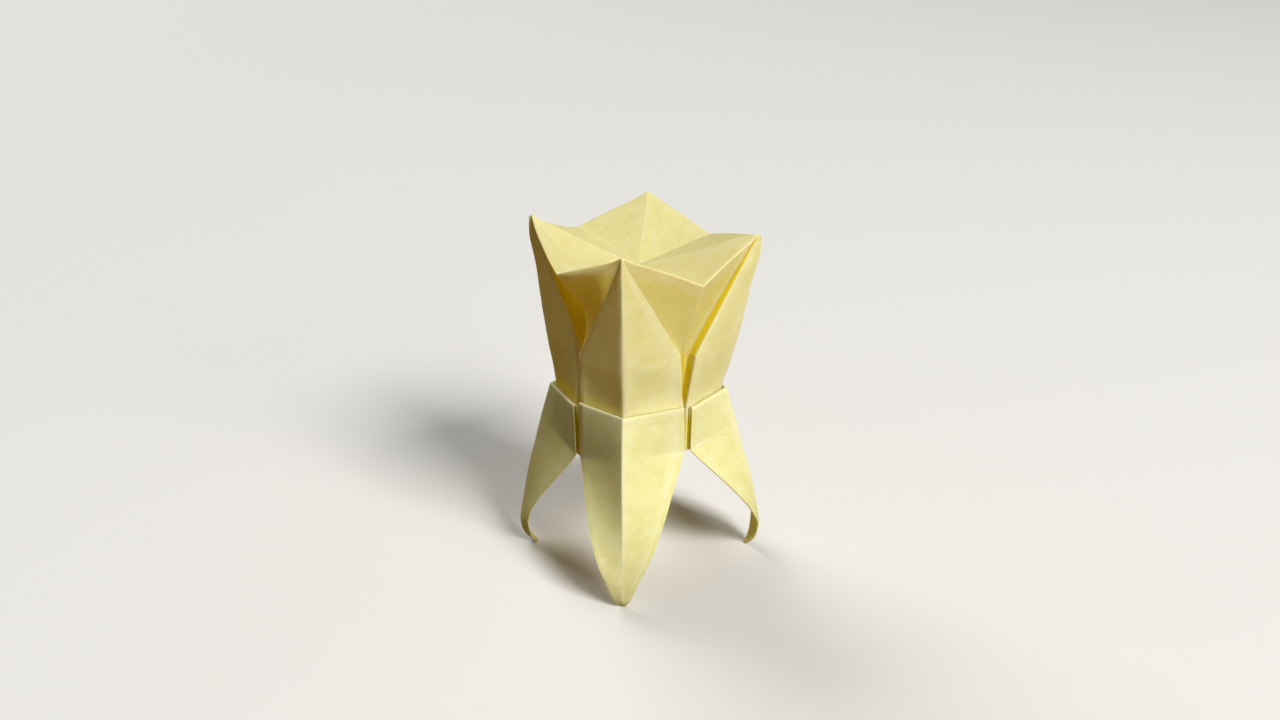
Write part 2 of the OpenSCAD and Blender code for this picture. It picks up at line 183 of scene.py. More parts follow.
class CrownSizes(bpy.types.PropertyGroup):
    cusp_reach: length("Cusp reach", "Distance of the cusps from the axis", 27.5)
    cusp_height: length("Cusp height", "Height of the cusps above the table", 88)
    valley_reach: length("Valley reach", "Distance of the rim's low points from the axis", 23.5)
    valley_height: length("Valley height", "Height of the rim's low points", 80.5)
    centre_height: length("Star height", "Height of the middle of the sunken star", 77.5)
    shoulder_height: length("Shoulder height", "Height at which a petal's edges turn down", 60)
    shoulder_reach: length("Shoulder reach", "Distance of the shoulders from the axis", 14.2)
    shoulder_half: length("Shoulder half width", "Half width of a petal at its shoulders", 12)
    ridge_bow: length("Ridge bow", "How far a ridge bows out between cusp and waist", 0.6)
    fold_reach: length("Inner fold reach", "Reach of the inner folds at the slits' foot", 13)


class WaistSizes(bpy.types.PropertyGroup):
    lip_height: length("Lip height", "Height of the lip where the pleat turns over", 46)
    lip_reach: length("Lip reach", "Distance of the lip from the axis on a ridge", 22.1)
    lip_corner_reach: length("Lip corner reach", "Distance of its corners from the axis", 14.3)
    lip_half: length("Lip half width", "Half width of a petal between the lip's corners", 12.6)
    foot_height: length("Slit foot", "Height of the foot of the slits", 34.5)
    ridge_draw: length("Ridge draw", "How far a ridge draws in below the lip", 1)
    edge_draw: length("Edge draw", "How far the edges draw in below the lip", 0.2)
    slit_gap: length("Slit gap", "Gap between two petals down a slit", 0.9)
    pocket: lengths("Pocket", "How far each petal's ridge is pressed in behind the lip",
                    0.4, 0.1, 0.3, 0.2)
    hollow: lengths("Hollow", "How far its facets are pressed in there", 1, 0.4, 0.6, 1)


class RootSizes(bpy.types.PropertyGroup):
    flare_reach: length("Flare reach", "Greatest distance of a root's ridge from the axis", 31)
    flare_height: length("Flare height", "Height at which a root stands out furthest", 6.5)
    edge_lift: length("Edge lift", "How much higher its edges stand out furthest", 1.5)
    tip_reach: length("Tip reach", "Distance of the root tips from the axis", 28)
    root_half: length("Root half width", "Half width of a root at the foot of the slits", 12.7)
    flare_half: length("Flare half width", "Half width of a root at its flare", 4.2)
    tip_half: length("Tip half width", "Half width of a root's blunt end", 0.6)
    ridge_start: lengths("Ridge start", "Way the ridge sets off: outwards and down", 4.2, 15)
    ridge_end: lengths("Ridge end", "Way the ridge comes in: from inwards and above", 1.2, 10.5)
    edge_start: lengths("Edge start", "Way an edge sets off: outwards, inwards to the ridge, down",
                        4.5, 1.8, 6)
    edge_end: lengths("Edge end", "Way an edge comes in: from inwards, outwards of it, above",
                      0.2, 4.8, 9)


class PaperSizes(bpy.types.PropertyGroup):
    paper: length("Thickness", "Thickness of the folded paper as it is pressed together", 0.3)
    ply_air: length("Air between plies", "Least air between two plies that lie on each other", 0.15)
    roll_width: length("Rolled strip", "Width of the strip rolled in along the slit edges", 1.2)
    roll_height: length("Strip height", "How far the strip's crease stands proud by a slit", 0.3)
    roll_flat: length("Flat strip height", "The same on the crown and on the roots", 0.02)
    sheet_side: length("Sheet side", "Side of the square that the tooth is folded from", 210)
    waviness: length("Waviness", "How far handling has bent the flat facets", 0.14)
    wave: length("Wave length", "Distance from one such bend to the next", 9)
    stand: lengths("Stand", "Move that stands the folded sheet on the table, over the origin",
                   -0.068, 0, 0.131)


class HandFolds(bpy.types.PropertyGroup):
    """How the petals differ: front, right, back and left, and the slits from the front right one
    on. A petal's counter-clockwise side faces the next petal. A list of eight gives the clockwise
    sides of the four and then the others."""
    cusp_out: lengths("Cusp out", "How much further out each cusp stands", 0, 1.2, 0, -1.8)
    cusp_up: lengths("Cusp up", "How much higher each cusp stands", 0.4, -1.9, -0.5, 0.1)
    cusp_aside: lengths("Cusp aside", "Counter-clockwise lean of each cusp", -0.5, -0.5, 0.3, -0.6)
    cusp_round: lengths("Cusp rounding", "How far the fold rounds out there", 0.2, 1, 0.2, 0.8)
    bow_more: lengths("More bow", "How much more each ridge bows out", -0.3, 0.6, 0, 0)
    valley_up: lengths("Valley up", "How much higher each low point stands", -1.5, 0, 0.6, 0.1)
    valley_out: lengths("Valley out", "How much further out it stands", 0.4, -0.6, 0.2, 0.3)
    sag: lengths("Rim sag", "Sag of the rim beside each cusp", 0, -0.4, 0, 0.8, -0.4, -0.4, 0, 1)
    shoulder_out: lengths("Shoulder out", "How much further out each shoulder stands",
                          0.1, 1.1, 0, 0, -0.1, 0, 0, -1.3)
    shoulder_up: lengths("Shoulder up", "How much higher it stands",
                         -1.2, -0.3, 0, 0, 0.2, 0, 0, 0.5)
    shoulder_wide: lengths("Shoulder wide", "How much further aside it stands",
                           0.6, 0.5, 0, 0, -0.3, 0, 0, -0.3)
    bend_reach: lengths("Bend reach", "Reach at which each inner fold steepens", 17.2, 14, 14, 13.5)
    bend_height: lengths("Bend height", "Height at which it steepens", 60.5, 65, 65, 67)
    bend_aside: lengths("Bend aside", "How far that lies counter-clockwise", -1.3, 0, 0, 0)
    foot_out: lengths("Fold foot out", "How much further out each inner fold ends", 2.6, 0, 0, 0)
    foot_aside: lengths("Fold foot aside", "How far it ends counter-clockwise", -0.4, 0, 0, 0)
    foot_up: lengths("Foot up", "How much higher the foot of each slit stands", 0.4, 0, 0, -2.4)
    tuck_depth: lengths("Tuck depth", "Depth of the tuck behind the next petal", 2.6, 0, 0, 0)
    step_depth: lengths("Step depth", "Depth of the step by its counter edge", 0, 0, 0, 1.2)
    step_width: length("Step width", "Width of that step", 0.5)
    brow: lengths("Brow", "Bulge below the rim of each petal's clockwise gusset", 4, 0, 0, 0)
    facet_round: lengths("Facet rounding", "Bulge of its clockwise facet there", 0.3, 0, 0, 0)
    second_crease: lengths("Second crease", "Depth of a crease below the lip", 0.15, 0.1, 0, 0)
    hook: lengths("Hook", "How far each cusp's blunt end is drawn up", 0.4, 0.3, 0, 1)
    # How much painted glow each gusset gets, by how far it lies in shade
    painted_glow_share: FloatVectorProperty(name="Shade", description="How far each gusset has kept its dye",
                               size=8, default=(0.5, 0.3, 0, 0, 0.3, 0, 0, 1), min=0, max=1)
    lip_up: lengths("Lip up", "How much higher each lip stands", 0.7, 0, 0, -0.7)
    lip_aside: lengths("Lip aside", "How far each ridge runs aside at the lip", -1.2, 0, 0, 0.4)
    tip_aside: lengths("Tip aside", "How far each tip leans counter-clockwise", -0.7, 4.2, -1, 0.5)
    tip_out: lengths("Tip out", "How much further out each tip ends", 1.2, -0.6, 0, -1.2)
    belly: lengths("Belly", "How much further each root's sides hang down", 0, 0, 0.3, 1.8)
    turn_in: lengths("Turn-in", "How far each edge of a root turns in",
                     0.3, 0.2, 0.8, 0.5, 0.3, 2, 0.3, 2.6)


class PaperLook(bpy.types.PropertyGroup):
    pulp: paint("Paper", "Colour of the dyed paper", "#EDE9AE")
    cloud: paint("Thicker pulp", "Colour where the pulp lies thicker", "#E6E198")
    fibre: paint("Fibre", "Colour of the long fibres", "#DAD27E")
    # Painted glow: a saturated yellow painted into the slits, the tucks, the shaded gussets and
    # behind the lips. It stands in for light bounced about and passed through the paper there
    painted_glow: paint("Kept dye", "Colour that the dye has kept in the slits and tucks", "#EADB22")
    worn: paint("Worn fold", "Colour of the rubbed fibres on the folds", "#FBF6D2")
    deep: paint("Light through it", "Colour of the light that gets through one face", "#FFEF88")
    fibre_length: length("Fibre length", "Length of the longest fibres", 5)
    fibre_width: length("Fibre width", "Width at which a bundle of fibres shows", 0.38)
    cloud_size: length("Cloud size", "Distance between thicker places in the pulp", 4)
    grain: length("Grain", "Distance between the finest grains", 0.25)
    relief: length("Relief", "Height of the fibres above the surface", 0.07)
    glow: factor("Glow", "Share of light that single paper's outer face lets through", 0.36)
    glow_folded: factor("Glow of folded paper", "The same where it is folded over itself", 0.15)


class StageLook(bpy.types.PropertyGroup):
    """Floor, light and camera. The lists are for the main, the low and the back light."""
    floor: paint("Floor", "Colour of the matt paper it stands on", "#E4E2DC")
    floor_bounce: paint("Floor bounce", "Colour of the floor for the light that it sends back up",
                        "#6E5A30")
    floor_radius: length("Floor radius", "Radius of the round floor", 1300)
    light_turn: angles("Light turns", "Turn of each from the front petal towards the right one",
                       46, 48, 222)
    light_height: angles("Light heights", "Height of each above the horizon", 43, 12, 44)
    light_power: FloatVectorProperty(name="Light powers", description="Power of each", size=3,
                                     default=(57, 30, 34), unit="POWER")
    light_size: lengths("Light sizes", "Side of each one's soft box", 800, 1400, 1400)
    light_distance: length("Light distance", "Distance of the lights", 2500)
    sky: factor("Fill", "Strength of the plain light from all round", 0.05)
    lens: FloatProperty(name="Lens", description="Focal length in millimetres on a 36 mm sensor",
                        default=40.39, subtype="DISTANCE_CAMERA")
    camera_place: lengths("Camera place", "Where the camera stands", 35.9, -323.87, 194.89)
    camera_turn: angles("Camera turn", "Tilt, roll and turn", 66.44, 0.13, 6.20, subtype="EULER")


def subgroup(kind, name, description):
    return PointerProperty(type=kind, name=name, description=description)


class ToothSettings(bpy.types.PropertyGroup):
    crown: subgroup(CrownSizes, "Crown", "Sizes of the crown")
    waist: subgroup(WaistSizes, "Waist", "Sizes of the pleated waist")
    roots: subgroup(RootSizes, "Roots", "Sizes of the four roots")
    paper: subgroup(PaperSizes, "Paper", "Sizes of the sheet itself")
    hand: subgroup(HandFolds, "Hand folds", "How the petals differ")
    look: subgroup(PaperLook, "Paper look", "Colours and fibres")
    stage: subgroup(StageLook, "Stage", "Floor, light and camera")


def millimetres(*groups):
    """The sizes of some groups of settings as plain numbers, in millimetres."""
    values = {}
    for group in groups:
        for name in type(group).__annotations__:
            value, unit = getattr(group, name), type(group).bl_rna.properties[name].unit
            scale = MM if unit == "LENGTH" else 1
            values[name] = value / scale if isinstance(value, float) else [v / scale for v in value]
    return SimpleNamespace(**values)


# ---- The folded sheet

def mix(a, b, t):
    return a + (b - a) * t


def closer(count):
    """Shares from 0 to 1 that lie closer together by both ends, where the folds are."""
    k = np.arange(count + 1) / count
    return k - DRAWN * np.sin(2 * np.pi * k) / (2 * np.pi)


def between(t):
    """0 at both ends of t from 0 to 1, and nearly 1 all the way between."""
    return 1 - (2 * t - 1) ** 4


def curve(controls, t):
    """Point of a Bezier curve."""
    points = [np.asarray(c, float) for c in controls]
    while len(points) > 1:
        points = [mix(a, b, t) for a, b in zip(points, points[1:])]
    return points[0]


def bulge(t):
    """A soft hump from 0 to 1 and back to 0 over t from 0 to 1, highest a third of the way."""
    t = min(max(t, 0), 1)
    return 6.75 * t * (1 - t) ** 2


def place(petal, points):
    """Points given outwards, counter-clockwise and up from a petal, put in the tooth."""
    turn = math.radians(90 * petal - 90)
    points = np.asarray(points, float)
    return np.stack([points[..., 0] * math.cos(turn) - points[..., 1] * math.sin(turn),
                     points[..., 0] * math.sin(turn) + points[..., 1] * math.cos(turn),
                     points[..., 2]], axis=-1)


def of_side(values, p, side):
    """The value for one side of a petal from a list of eight."""
    return values[p if side < 0 else p + 4]


class Sheet:
    """The middle surface of the folded paper, in millimetres. Places are given outwards,
    counter-clockwise and up from a petal; side is -1 for its clockwise half and 1 for the other."""

    def __init__(self, sizes):
        self.s = sizes
        self.slope = math.atan2(sizes.lip_reach - sizes.lip_corner_reach, sizes.lip_half)
        self.ply = sizes.paper + sizes.ply_air
        strip_slope = self.slope + math.atan2(sizes.roll_height, sizes.roll_width)
        self.step = self.ply / math.cos(strip_slope)
        self.middle = np.array([0, 0, sizes.centre_height])
        self.waist_share = ((sizes.shoulder_height - sizes.lip_height)
                            / (sizes.shoulder_height - sizes.foot_height))

    def slit(self, p, side):
        return (p + 3) % 4 if side < 0 else p

    def cusp(self, p):
        s = self.s
        return np.array([s.cusp_reach + s.cusp_out[p], s.cusp_aside[p],
                         s.cusp_height + s.cusp_up[p]])

    def shoulder(self, p, side):
        s = self.s
        return np.array([s.shoulder_reach + of_side(s.shoulder_out, p, side),
                         side * (s.shoulder_half + of_side(s.shoulder_wide, p, side)),
                         s.shoulder_height + of_side(s.shoulder_up, p, side)])

    def lip_ridge(self, p):
        s = self.s
        return np.array([s.lip_reach, s.lip_aside[p], s.lip_height + s.lip_up[p]])

    def lip_corner(self, p, side):
        s = self.s
        return np.array([s.lip_corner_reach, side * s.lip_half, s.lip_height + s.lip_up[p]])

    def foot(self, p, side):
        return self.s.foot_height + self.s.foot_up[self.slit(p, side)]

    def inner_corner(self, p, side, draw, height):
        s = self.s
        reach = s.lip_corner_reach - draw - 2 * self.step
        half = min(s.lip_half - s.edge_draw, reach - s.slit_gap / math.sqrt(2))
        return np.array([reach, side * half, height])

    def ridge_down(self, p, t):
        """The ridge from the cusp, where t is 0, to the inner ply behind the lip."""
        s = self.s
        end = self.lip_ridge(p) - 2 * self.step * OUT
        return mix(self.cusp(p), end, t) + (s.ridge_bow + s.bow_more[p]) * 4 * t * (1 - t) * OUT

    def shoulder_share(self, p):
        """How far down its way from the cusp to the lip the ridge passes the shoulders."""
        top = self.cusp(p)[2]
        return (top - self.s.shoulder_height) / (top - self.lip_ridge(p)[2])

    def flare_edge(self, p, side):
        s = self.s
        return np.array([s.flare_reach - of_side(s.turn_in, p, side),
                         side * s.flare_half + s.tip_aside[p], s.flare_height + s.edge_lift])

    def root_ridge(self, p):
        s = self.s
        lip = self.lip_ridge(p)
        end = np.array([s.flare_reach, s.tip_aside[p], s.flare_height])
        return [lip,
                lip + [s.ridge_start[0], 0, -s.ridge_start[1] - s.lip_up[p]],
                end + [-s.ridge_end[0], -s.tip_aside[p] / 2, s.ridge_end[1]],
                end]

    def root_edge(self, p, side):
        s = self.s
        reach = s.lip_corner_reach - s.edge_draw + (s.lip_half - s.root_half) * math.tan(self.slope)
        start = np.array([reach, side * s.root_half, self.foot(p, side)])
        end = self.flare_edge(p, side)
        aside = side * s.edge_end[1] - s.tip_aside[p] / 2
        return [start,
                start + [s.edge_start[0], -side * s.edge_start[1], -s.edge_start[2] - s.belly[p]],
                end + [-s.edge_end[0] - s.belly[p], aside, s.edge_end[2]],
                end]

    def curl(self, p, side, t):
        """Ridge and edge of the curled end of a root."""
        s = self.s
        aim, aside = s.flare_height * CURL_AIM, s.tip_aside[p]
        start = self.flare_edge(p, side)
        reach = s.tip_reach + s.tip_out[p]
        ridge = [[s.flare_reach, aside, s.flare_height], [s.flare_reach, aside, aim],
                 [reach, aside, 0]]
        edge = [start, [start[0], side * s.flare_half / 2 + aside, aim],
                [reach, side * s.tip_half + aside, 0]]
        return curve(ridge, t), curve(edge, t)

    def pressed(self, depth, t):
        """How the inner ply is pressed in behind the lip: not at t 0, and fully at t 1."""
        return -depth * t ** 3 * OUT

    def lines(self, p, side, stretch, t):
        """Ridge and edge of a petal at share t of a stretch."""
        s = self.s
        foot, share = self.foot(p, side), self.shoulder_share(p)
        inner = self.inner_corner(p, side, 0, self.lip_ridge(p)[2])
        if stretch == "crown":
            out = s.cusp_round[p] * bulge(t / CROWN_ROUND_TO)
            return (self.ridge_down(p, t * share) + out * OUT,
                    mix(self.cusp(p), self.shoulder(p, side), t))
        if stretch == "waist":
            return (self.ridge_down(p, mix(share, 1, t)) + self.pressed(s.pocket[p], t),
                    mix(self.shoulder(p, side), inner, t))
        if stretch == "foot":
            reach = s.lip_reach - s.ridge_draw - 2 * self.step
            low = np.array([reach, s.lip_aside[p], s.foot_height])
            return (mix(self.ridge_down(p, 1), low, t) + self.pressed(s.pocket[p], 1 - t),
                    mix(inner, self.inner_corner(p, side, s.edge_draw, foot), t))
        if stretch == "root":
            return (curve(self.root_ridge(p), ROOT_SHARE * t),
                    mix(self.lip_corner(p, side), self.root_edge(p, side)[0], t))
        if stretch == "flare":
            return (curve(self.root_ridge(p), mix(ROOT_SHARE, 1, t)),
                    curve(self.root_edge(p, side), t))
        return self.curl(p, side, t)

    def across(self, p, side, stretch, t):
        """One row of a facet from its ridge to its edge, with the strip that is rolled in there."""
        s = self.s
        ridge, edge = self.lines(p, side, stretch, t)
        width = np.linalg.norm(edge - ridge)
        strip = min(s.roll_width, ROLL_SHARE * width)
        share = 1 - strip / max(width, TINY)
        out = side * np.cross(edge - ridge, UP)
        out = out / max(np.linalg.norm(out), TINY)
        height = {"crown": mix(s.roll_flat, s.roll_height, t ** 3), "waist": s.roll_height,
                  "foot": s.roll_height, "root": mix(s.roll_height, s.roll_flat, t),
                  }.get(stretch, s.roll_flat)
        crease = mix(ridge, edge, share) + height * (strip / s.roll_width) ** 3 * out
        flat = [mix(ridge, crease, k) for k in closer(FLAT)[:-1]]
        return np.array(flat + [mix(crease, edge, k / ROLL) for k in range(ROLL + 1)])

    def turned(self, start, end, t, way):
        """A row on its way round from one ply to the next further out: way is 1 at the foot of the
        slits and -1 over the lip."""
        angle = math.pi * t
        hang = way * self.ply / 2 * math.sin(angle)
        return mix(start, end, (1 - math.cos(angle)) / 2) - hang * UP

    def facet(self, p, side, stretch, t):
        """One row of half a petal, from its ridge to its edge."""
        s = self.s
        if stretch == "turn":
            row = self.across(p, side, "foot", 1)
            return self.turned(row, row + self.step * OUT, t, 1)
        if stretch == "pleat":
            row = self.across(p, side, "foot", 1 - t) - self.pressed(s.pocket[p], t)
            return row + self.step * OUT
        if stretch == "lip":
            row = self.across(p, side, "waist", 1) - self.pressed(s.pocket[p], 1) + self.step * OUT
            return self.turned(row, self.across(p, side, "root", 0), t, -1)
        row = self.across(p, side, stretch, t)
        share = np.linalg.norm(row - row[0], axis=1) / max(np.linalg.norm(row[-1] - row[0]), TINY)
        if stretch == "waist":
            row = row - s.hollow[p] * bulge(1 - t) * between(share)[:, None] * OUT
        if stretch == "root" and side > 0:
            down, half = SECOND_CREASE
            depth = s.second_crease[p] * max(1 - abs(t - down) / half, 0)
            row = row - depth * between(share / 2 + 0.1)[:, None] * OUT
        if stretch == "crown" and side < 0:
            out = s.facet_round[p] * bulge(t / FACET_ROUND_TO)
            row = row + out * (4 * share * (1 - share))[:, None] * OUT
        return row

    def shares(self, p, side, t):
        """Shares of the way across a gusset at which its columns lie, and how deep they lie. A tuck
        drops steeply behind the petal's edge and comes back; a step drops and slopes back up."""
        s = self.s
        deep = s.tuck_depth[self.slit(p, side)] if side < 0 else s.step_depth[p]
        if deep == 0:
            return closer(WEB), np.zeros(WEB + 1)
        down = min(t / OPENING, 1)
        if side < 0:
            back = 2 * mix(*TUCKED_SHARE, t)
            bottom, deep = TUCK_STEEP * back, deep * mix(RIM_TUCK * down, 1, t)
        else:
            bottom, back, deep = s.step_width / mix(s.cusp_reach, GUSSET_FOOT, t), 1, deep * down
        share = np.concatenate([bottom * np.arange(TUCK) / TUCK,
                                mix(bottom, 1, closer(WEB - TUCK))])
        if back < 1:
            share[TUCK:] = np.append(mix(bottom, back, np.arange(TUCK) / TUCK),
                                     mix(back, 1, closer(WEB - 2 * TUCK)))
        slope = np.minimum(share / bottom, (back - share) / (back - bottom))
        return share, deep * np.clip(slope, 0, 1)

    def fold(self, g, stretch, t):
        """The inner fold of a slit."""
        s = self.s
        valley, bend, foot = place(g + 0.5, [
            [s.valley_reach + s.valley_out[g], 0, s.valley_height + s.valley_up[g]],
            [s.bend_reach[g], s.bend_aside[g], s.bend_height[g]],
            [s.fold_reach + s.foot_out[g], s.foot_aside[g], s.foot_height + s.foot_up[g]]])
        if stretch == "star":
            return mix(self.middle, valley, t)
        if stretch == "crown":
            return mix(valley, bend, t)
        if stretch == "waist":
            return mix(bend, foot, self.waist_share * t)
        return mix(bend, foot, mix(self.waist_share, 1, t))

    def web(self, p, side, stretch, t):
        """One row from a petal's edge to the inner fold: a gusset, or half a facet of the star."""
        s = self.s
        g = self.slit(p, side)
        if stretch == "star":
            hump = bulge((1 - t) / (1 - STAR_ROUND_FROM)) * s.cusp_round[p] * STAR_ROUND
            edge = mix(self.middle, place(p, self.cusp(p)), t) + hump * UP
            down, near = 0, 1 - (1 - t) / SAG_FADE[0]
        else:
            edge = place(p, self.lines(p, side, stretch, t)[1])
            down, near = (t, 1 - t / SAG_FADE[1]) if stretch == "crown" else (1, 0)
        share, tuck = self.shares(p, side, down)
        sag = of_side(s.sag, p, side) * 4 * share * (1 - share) * max(near, 0)
        if stretch == "crown" and side < 0:
            reach = mix(*BROW_DOWN, share)
            tuck = tuck - s.brow[p] * between(share) * [a * bulge(t / a) for a in reach]
        in_slit = np.stack([tuck, 0 * sag, sag], axis=-1)
        return mix(edge, self.fold(g, stretch, t), share[:, None]) - place(g + 0.5, in_slit)

    def row(self, p, stretch, t):
        """One row of a petal, from the inner fold on its clockwise side to the one on the other. A
        root has no gussets, and a petal of the star has no facets but only its ridge."""
        if stretch in FLAPS:
            webs = [np.full((WEB + 1, 3), np.nan)] * 2
        else:
            webs = [self.web(p, side, stretch, t) for side in (-1, 1)]
        if stretch == "star":
            facets = [np.tile(webs[0][0], (FACET + 1, 1))] * 2
        else:
            facets = [place(p, self.facet(p, side, stretch, t)) for side in (-1, 1)]
        return np.concatenate([webs[0][:0:-1], facets[0][:0:-1], facets[1], webs[1][1:]])


class Grid:
    """Rows and columns of the whole sheet, with its points numbered once each."""

    def __init__(self, sheet):
        stretches = []
        for name, rows in STRETCHES.items():
            shares = closer(rows) if name in CREASED else np.linspace(0, 1, rows + 1)
            stretches += [(name, t) for t in shares[:-1]]
        stretches.append(("curl", 1.0))
        self.rows = np.array([[sheet.row(p, *at) for p in range(4)] for at in stretches])
        self.number = np.full((len(stretches), RING), -1)
        points, where, count = [], [], 0
        for i, (stretch, t) in enumerate(stretches):
            # In the star and on the rim a petal's facets have no width: they are its ridge
            narrow = stretch == "star" or (stretch == "crown" and t == 0)
            for p in range(4):
                line = self.number[i, p * PETAL:(p + 1) * PETAL]
                here = np.arange(PETAL)
                if stretch in FLAPS:
                    here = here[FACETS]
                if narrow:
                    here = np.delete(here, slice(WEB + 1, FACETS.stop))
                if i == 0:
                    here = here[:1] if p == 0 else here[:0]
                line[here] = count + np.arange(len(here))
                points.append(self.rows[i, p, here])
                where += [(i, p, column) for column in here]
                count += len(here)
                if narrow:
                    line[FACETS] = line[WEB]
        self.number[0] = 0
        self.points = np.concatenate(points)
        self.row, self.petal, self.column = np.array(where).T
        self.here, self.t = (np.array(v)[self.row] for v in zip(*stretches))
        self.make_faces()
        self.make_neighbours()
        self.make_flat(sheet.s.sheet_side)

    def make_faces(self):
        """Quads, and triangles where points fall together, with each corner's row and column."""
        n, right = self.number, np.roll(self.number, -1, axis=1)
        corners = np.stack([n[:-1], n[1:], right[1:], right[:-1]], axis=-1)
        whole = (corners >= 0).all(axis=-1)
        rows, columns = np.nonzero(whole)
        self.faces, self.corners = [], []
        for i, c in zip(rows, columns):
            quad = corners[i, c]
            keep = [k for k in range(4) if quad[k] != quad[k - 1]]
            if len(keep) > 2:
                self.faces.append([int(quad[k]) for k in keep])
                self.corners.append([(i + (k in (1, 2)), c, int(k > 1)) for k in keep])

    def make_neighbours(self):
        """For each of the four ways along rows and columns, the pairs of neighbouring points."""
        n, right = self.number, np.roll(self.number, -1, axis=1)
        self.ways = []
        for a, b in ((n[:-1], n[1:]), (n, right)):
            pair = (a >= 0) & (b >= 0) & (a != b)
            self.ways.append(((a[pair], b[pair]), (b[pair], a[pair])))

    def make_flat(self, side):
        """Where each corner lies on the flat square, whose corners become the tips of the roots."""
        ridge = self.rows[:, :, RIDGE]
        steps = np.linalg.norm(np.diff(ridge, axis=0), axis=-1)
        along = np.concatenate([np.zeros((1, 4)), np.cumsum(steps, axis=0)])
        gaps = np.nan_to_num(np.linalg.norm(np.diff(self.rows, axis=2), axis=-1))
        beside = np.concatenate([np.zeros((*gaps.shape[:2], 1)), np.cumsum(gaps, axis=2)], axis=2)
        beside -= beside[:, :, [RIDGE]]
        turn = np.radians(45 + 90 * np.arange(4))[None, :, None]
        u, v = along[:, :, None] / side, beside / side
        self.flat = np.stack([0.5 + u * np.cos(turn) - v * np.sin(turn),
                              0.5 + u * np.sin(turn) + v * np.cos(turn)], axis=-1)

    def averages(self, values):
        """For rows and for columns, the mean of the neighbours on both sides of each point, and
        whether it has one on each side."""
        found = []
        for two in self.ways:
            means, there = [], []
            for a, b in two:
                count = np.bincount(a, minlength=len(values))
                total = np.stack([np.bincount(a, v, len(values)) for v in values[b].T], axis=-1)
                means.append(total / np.maximum(count, 1)[:, None])
                there.append(count > 0)
            found.append(((means[0] + means[1]) / 2, there[0] & there[1]))
        return found

    def rounded(self, values, rounds, give):
        """Values drawn towards those of their neighbours; free edges give only along themselves."""
        for _ in range(rounds):
            (rows, has_rows), (columns, has_columns) = self.averages(values)
            weight = has_rows.astype(float) + has_columns
            mean = ((rows * has_rows[:, None] + columns * has_columns[:, None])
                    / np.maximum(weight, 1)[:, None])
            drawn = mix(values, mean, np.reshape(give, (-1, 1)))
            values = np.where(weight[:, None] > 0, drawn, values)
        return values

    def bends(self):
        """How sharply the sheet is folded at each point, from 0 where it is flat to 1 where it
        turns by 60 degrees or more."""
        strength = np.zeros(len(self.points))
        for (mean, has), (forward, _) in zip(self.averages(self.points), self.ways):
            gap = np.zeros(len(self.points))
            a, b = forward
            np.maximum.at(gap, a, np.linalg.norm(self.points[a] - self.points[b], axis=-1))
            bend = np.linalg.norm(mean - self.points, axis=-1) / np.maximum(gap, LEAST_GAP)
            strength = np.maximum(strength, np.where(has, bend, 0))
        return np.clip(strength * 2, 0, 1)

    def on(self, *names):
        """Which points lie on some stretches."""
        return np.isin(self.here, names)

    def from_cusps(self, points):
        """The points of the cusps, and how near each point is to its petal's: 1 at the cusp, and 0
        from a few millimetres on."""
        rim = STRETCHES["star"]
        tips = self.number[rim, np.arange(4) * PETAL + RIDGE]
        away = np.linalg.norm(points - points[tips][self.petal], axis=-1)
        return tips, np.exp(-(away / CUSP_SOFT) ** 2)

    def from_ridges(self):
        """How near each point is to the ridge of its petal, above the pleat."""
        away = np.abs(self.column - RIDGE) / RIDGE_SOFT
        return self.on("crown", "waist") * np.clip(2 - away, 0, 1)

    def single(self):
        """How near to a single layer the paper is: the gussets are one, the star and the facets
        have others behind them in places, and the pleat and the roots are thickest."""
        thin = mix(SINGLE["facet"], 1, np.clip(self.off_facet() / SINGLE_FROM, 0, 1))
        return np.where(self.on("star"), SINGLE["star"], np.where(self.on(*FLAPS), 0, thin))

    def off_facet(self):
        """How many columns each point lies from its petal's nearer edge, into the gusset there."""
        return np.maximum(WEB - self.column, self.column - WEB - 2 * FACET)

    def painted_glow(self, sizes):
        """How much saturated yellow is painted in, standing in for light bounced about and passed
        through the paper where it lies deep in folds: in the slits, the tucks and the pleat, and in
        the gussets and behind the lips that other petals shade."""
        off, clockwise = self.off_facet(), self.column < RIDGE
        shade_of = np.array(sizes.painted_glow_share)[self.petal + np.where(clockwise, 0, 4)]
        painted_glow_share = shade_of * np.clip((self.t - PAINTED_GLOW_FROM) / PAINTED_GLOW_FROM, 0, 1)
        depth = np.where(clockwise, np.array(sizes.tuck_depth)[(self.petal + 3) % 4], 0)
        tucked = (depth > 0) * np.clip(2 - off / TUCK, 0, 1)
        deep = np.where(self.on("waist", "foot"), 1, np.maximum(painted_glow_share, tucked))
        deep = deep * np.clip(off / PAINTED_GLOW_COLUMNS, 0, 1)
        start, way = BY_LIP
        by_lip = self.on("waist") * (shade_of >= SHADED) * shade_of
        by_lip = by_lip * np.clip((self.t - start) / way, 0, 1)
        # The painted glow fades out on the plies right below the lip, where light falls on them
        # directly
        below = np.where(self.on("pleat"), 1 - self.t, np.where(self.on("foot"), self.t, 1))
        deep = np.where(self.on("foot", "turn", "pleat"), np.clip(below / BELOW_LIP, 0, 1),
                        np.maximum(deep, by_lip))
        return np.where(self.on("star", "lip", "root", "flare", "curl"), 0, deep)


def normals(points, faces):
    """Directions across the sheet at its points, weighted by the size of the faces round them."""
    total = np.zeros_like(points)
    for size in (3, 4):
        some = np.array([f for f in faces if len(f) == size])
        across = np.cross(points[some[:, 2]] - points[some[:, 0]],
                          points[some[:, -1]] - points[some[:, 1]])
        for k in range(size):
            np.add.at(total, some[:, k], across)
    return total / np.maximum(np.linalg.norm(total, axis=-1), TINY)[:, None]


